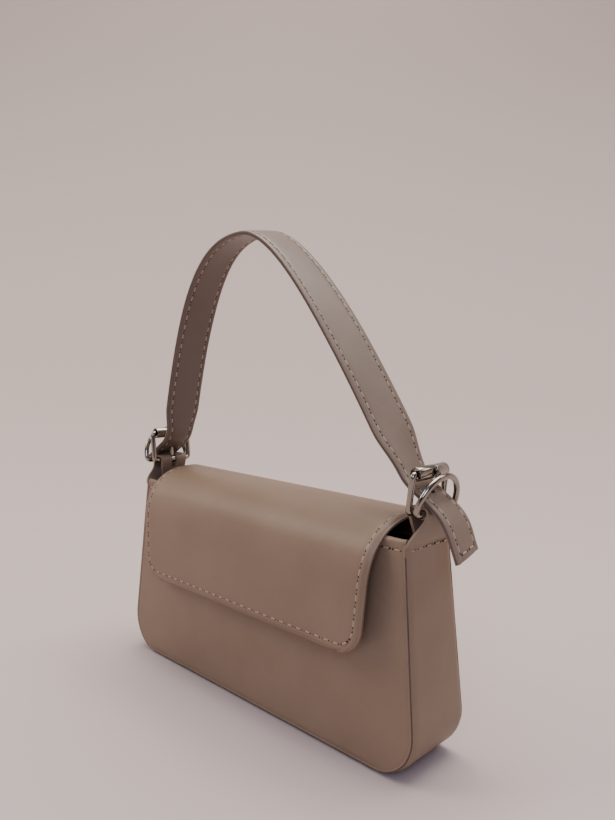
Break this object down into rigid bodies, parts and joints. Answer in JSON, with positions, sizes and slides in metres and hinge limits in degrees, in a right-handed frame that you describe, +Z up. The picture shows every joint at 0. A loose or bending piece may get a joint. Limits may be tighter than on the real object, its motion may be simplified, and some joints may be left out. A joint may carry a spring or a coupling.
{
  "type": "baguette bag",
  "caption": "Small boxed leather shoulder bag with a snap-closed front flap and a short two-ply strap standing in an arch between two roller buckles with keeper rings.",
  "frame": {"origin": "middle of the face that the bag stands on", "axes": "+X across the bag to the right-hand buckle as seen from the front, +Y from the front to the back, +Z up"},
  "size_m": [0.2526, 0.0551, 0.2789],
  "materials": {
    "leather": "smooth satin taupe leather",
    "lining_leather": "matt taupe lining leather",
    "board": "matt pressed fibre board",
    "lining_fabric": "black woven lining",
    "tape": "dark brown woven reinforcing tape",
    "nickel": "polished nickel plate"
  },
  "bodies": {
    "bag": {"front_panel": "leather", "back_panel": "leather", "gusset": "leather", "front_board": "board", "back_board": "board", "gusset_board": "board", "front_lining": "lining_fabric", "back_lining": "lining_fabric", "gusset_lining": "lining_fabric", "flap_strip": "leather", "snap_socket": "nickel", "snap_socket_washer": "nickel"},
    "flap": {"flap_outer": "leather", "flap_board": "board", "flap_lining": "lining_leather", "snap_stud": "nickel", "snap_stud_washer": "nickel"},
    "handle": {"strap_outer": "leather", "strap_tape": "tape", "strap_inner": "leather", "left_tab": "leather", "right_tab": "leather", "left_tab_lining": "tape", "right_tab_lining": "tape", "left_buckle_frame": "nickel", "right_buckle_frame": "nickel"},
    "left_roller": {"left_roller": "nickel"},
    "right_roller": {"right_roller": "nickel"},
    "left_prong": {"left_prong": "nickel"},
    "right_prong": {"right_prong": "nickel"},
    "left_ring": {"left_keeper_ring": "nickel"},
    "right_ring": {"right_keeper_ring": "nickel"}
  },
  "joints": [
    {"name": "flap_hinge", "type": "hinge", "parent": "bag", "child": "flap", "pos_m": [0, 0.02005, 0.12], "axis": [-1, 0, 0], "range_deg": [0, 40]},
    {"name": "handle_sway", "type": "hinge", "parent": "bag", "child": "handle", "pos_m": [0, 0, 0.1249], "axis": [1, 0, 0], "range_deg": [-15, 15]},
    {"name": "left_roller_spin", "type": "hinge", "parent": "handle", "child": "left_roller", "pos_m": [-0.10901, 0, 0.14968], "axis": [0, 1, 0], "continuous": true},
    {"name": "left_prong_pivot", "type": "hinge", "parent": "handle", "child": "left_prong", "pos_m": [-0.1069, 0, 0.1309], "axis": [0, -1, 0], "range_deg": [0, 5]},
    {"name": "left_ring_pivot", "type": "hinge", "parent": "handle", "child": "left_ring", "pos_m": [-0.1123, 0, 0.1309], "axis": [0, -1, 0], "range_deg": [-5, 60]},
    {"name": "right_roller_spin", "type": "hinge", "parent": "handle", "child": "right_roller", "pos_m": [0.10901, 0, 0.14968], "axis": [0, 1, 0], "continuous": true},
    {"name": "right_prong_pivot", "type": "hinge", "parent": "handle", "child": "right_prong", "pos_m": [0.1069, 0, 0.1309], "axis": [0, 1, 0], "range_deg": [0, 5]},
    {"name": "right_ring_pivot", "type": "hinge", "parent": "handle", "child": "right_ring", "pos_m": [0.1123, 0, 0.1309], "axis": [0, 1, 0], "range_deg": [-5, 60]}
  ]
}
